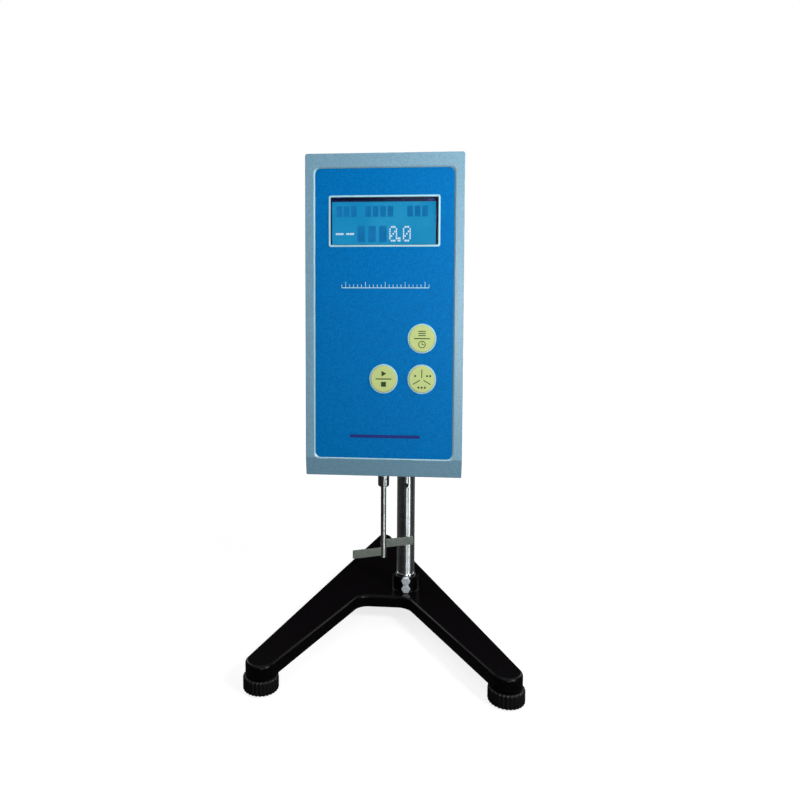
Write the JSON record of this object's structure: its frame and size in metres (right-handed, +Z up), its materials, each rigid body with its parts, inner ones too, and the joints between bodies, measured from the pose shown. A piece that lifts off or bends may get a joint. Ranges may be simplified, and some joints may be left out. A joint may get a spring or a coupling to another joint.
{
  "type": "digital viscometer",
  "caption": "Bench rotational viscometer: display head with keys on a rack-and-pinion column, paddle spindle below, V-shaped base on levelling feet.",
  "frame": {"origin": "centre of the assembly's box, on the bench plane", "axes": "+Z up, +X to the right of a viewer facing the display, -Y out of the display towards the viewer"},
  "size_m": [0.2064, 0.2852, 0.4],
  "materials": {
    "black_casting_paint": "gloss",
    "polished_steel": "polished",
    "bright_ring_metal": "bright",
    "zinc_steel": "zinc plated",
    "black_plastic": "satin",
    "brass": "machined",
    "black_rubber": "matte",
    "blue_grey_paint": "satin",
    "blue_film": "satin",
    "clear_acrylic": "clear",
    "pale_print": "satin",
    "green_key_plastic": "satin",
    "display_blue": "lit",
    "board_green": "solder mask",
    "plate_aluminium": "satin",
    "dark_steel": "satin",
    "vial_liquid": "clear",
    "spring_steel": "blued",
    "paddle_steel": "satin",
    "carriage_paint": "satin"
  },
  "bodies": {
    "base": {"base_casting": "black_casting_paint", "column": "polished_steel", "column_ring": "bright_ring_metal", "set_bolts": "zinc_steel", "column_cap": "black_plastic", "foot_bushes": "brass"},
    "left_pad": {"foot_pad_left": "black_rubber"},
    "left_foot": {"foot_knob_left": "black_plastic", "foot_stud_left": "zinc_steel"},
    "right_pad": {"foot_pad_right": "black_rubber"},
    "right_foot": {"foot_knob_right": "black_plastic", "foot_stud_right": "zinc_steel"},
    "rear_pad": {"foot_pad_rear": "black_rubber"},
    "rear_foot": {"foot_knob_rear": "black_plastic", "foot_stud_rear": "zinc_steel"},
    "head": {"front_frame": "blue_grey_paint", "front_panel": "blue_film", "window_lens": "clear_acrylic", "window_rim": "pale_print", "key_rings": "pale_print", "lcd_module": "display_blue", "keypad_board": "board_green", "tact_switches": "black_plastic", "main_board": "board_green", "board_standoffs": "zinc_steel", "cover": "blue_grey_paint", "rear_plate": "blue_grey_paint", "bottom_plate": "blue_grey_paint", "case_screws": "zinc_steel", "upper_plate": "plate_aluminium", "frame_pillars": "plate_aluminium", "shaft_bearings": "bright_ring_metal", "motor": "dark_steel", "optical_sensor": "black_plastic", "power_supply": "plate_aluminium", "power_inlet": "black_plastic", "switch_frame": "black_plastic", "serial_port": "zinc_steel", "level_vial": "vial_liquid", "carriage": "carriage_paint", "carriage_bushes": "brass", "carriage_bolts": "zinc_steel"},
    "rotor": {"spindle_shaft": "polished_steel", "drive_gear": "brass", "spiral_spring": "spring_steel", "slotted_disc": "dark_steel", "chuck": "polished_steel", "paddle_rod": "polished_steel", "paddle": "paddle_steel"},
    "motor_gear": {"motor_pinion": "brass"},
    "print_key": {"key_print": "green_key_plastic"},
    "run_key": {"key_run": "green_key_plastic"},
    "units_key": {"key_units": "green_key_plastic"},
    "power_rocker": {"switch_rocker": "black_plastic"},
    "lift_pinion": {"pinion_shaft": "polished_steel", "lift_knob": "black_plastic"},
    "lock": {"lock_screw": "zinc_steel", "lock_knob": "black_plastic"}
  },
  "joints": [
    {"name": "head_lift", "type": "slide", "parent": "base", "child": "head", "axis": [0, 0, 1], "range_m": [-0.045, 0.045]},
    {"name": "left_foot_height", "type": "slide", "parent": "base", "child": "left_pad", "axis": [0, 0, -1], "range_m": [-0.0004, 0.005]},
    {"name": "left_foot_turn", "type": "hinge", "parent": "left_pad", "child": "left_foot", "pos_m": [-0.0898, -0.12925, 0.005], "axis": [0, 0, -1], "range_deg": [-180, 1830]},
    {"name": "right_foot_height", "type": "slide", "parent": "base", "child": "right_pad", "axis": [0, 0, -1], "range_m": [-0.0004, 0.005]},
    {"name": "right_foot_turn", "type": "hinge", "parent": "right_pad", "child": "right_foot", "pos_m": [0.0898, -0.12925, 0.005], "axis": [0, 0, -1], "range_deg": [-180, 1830]},
    {"name": "rear_foot_height", "type": "slide", "parent": "base", "child": "rear_pad", "axis": [0, 0, -1], "range_m": [-0.0004, 0.005]},
    {"name": "rear_foot_turn", "type": "hinge", "parent": "rear_pad", "child": "rear_foot", "pos_m": [0, 0.11525, 0.005], "axis": [0, 0, -1], "range_deg": [-180, 1830]},
    {"name": "spindle_turn", "type": "hinge", "parent": "head", "child": "rotor", "pos_m": [0, -0.04275, 0.15], "axis": [0, 0, 1], "continuous": true},
    {"name": "motor_turn", "type": "hinge", "parent": "head", "child": "motor_gear", "pos_m": [-0.03, -0.04275, 0.206], "axis": [0, 0, 1], "continuous": true},
    {"name": "print_key_press", "type": "slide", "parent": "head", "child": "print_key", "axis": [0, 1, 0], "range_m": [0, 0.0007], "stiffness_N_per_m": 1500, "springref_m": -0.0003},
    {"name": "run_key_press", "type": "slide", "parent": "head", "child": "run_key", "axis": [0, 1, 0], "range_m": [0, 0.0007], "stiffness_N_per_m": 1500, "springref_m": -0.0003},
    {"name": "units_key_press", "type": "slide", "parent": "head", "child": "units_key", "axis": [0, 1, 0], "range_m": [0, 0.0007], "stiffness_N_per_m": 1500, "springref_m": -0.0003},
    {"name": "power_rocker_tilt", "type": "hinge", "parent": "head", "child": "power_rocker", "pos_m": [-0.034, -0.01075, 0.342], "axis": [1, 0, 0], "range_deg": [0, 16]},
    {"name": "lift_knob_turn", "type": "hinge", "parent": "head", "child": "lift_pinion", "pos_m": [0.0198, 0.02375, 0.3], "axis": [1, 0, 0], "range_deg": [-290, 290]},
    {"name": "lock_knob_turn", "type": "hinge", "parent": "head", "child": "lock", "pos_m": [0.0198, 0.00825, 0.3], "axis": [1, 0, 0], "range_deg": [0, 120]}
  ],
  "couplings": [
    {"joint": "lift_knob_turn", "follows": "head_lift", "rad_per_m": 111.11},
    {"joint": "motor_turn", "follows": "spindle_turn", "ratio": -4},
    {"joint": "left_foot_turn", "follows": "left_foot_height", "rad_per_m": 6283.2},
    {"joint": "right_foot_turn", "follows": "right_foot_height", "rad_per_m": 6283.2},
    {"joint": "rear_foot_turn", "follows": "rear_foot_height", "rad_per_m": 6283.2}
  ]
}
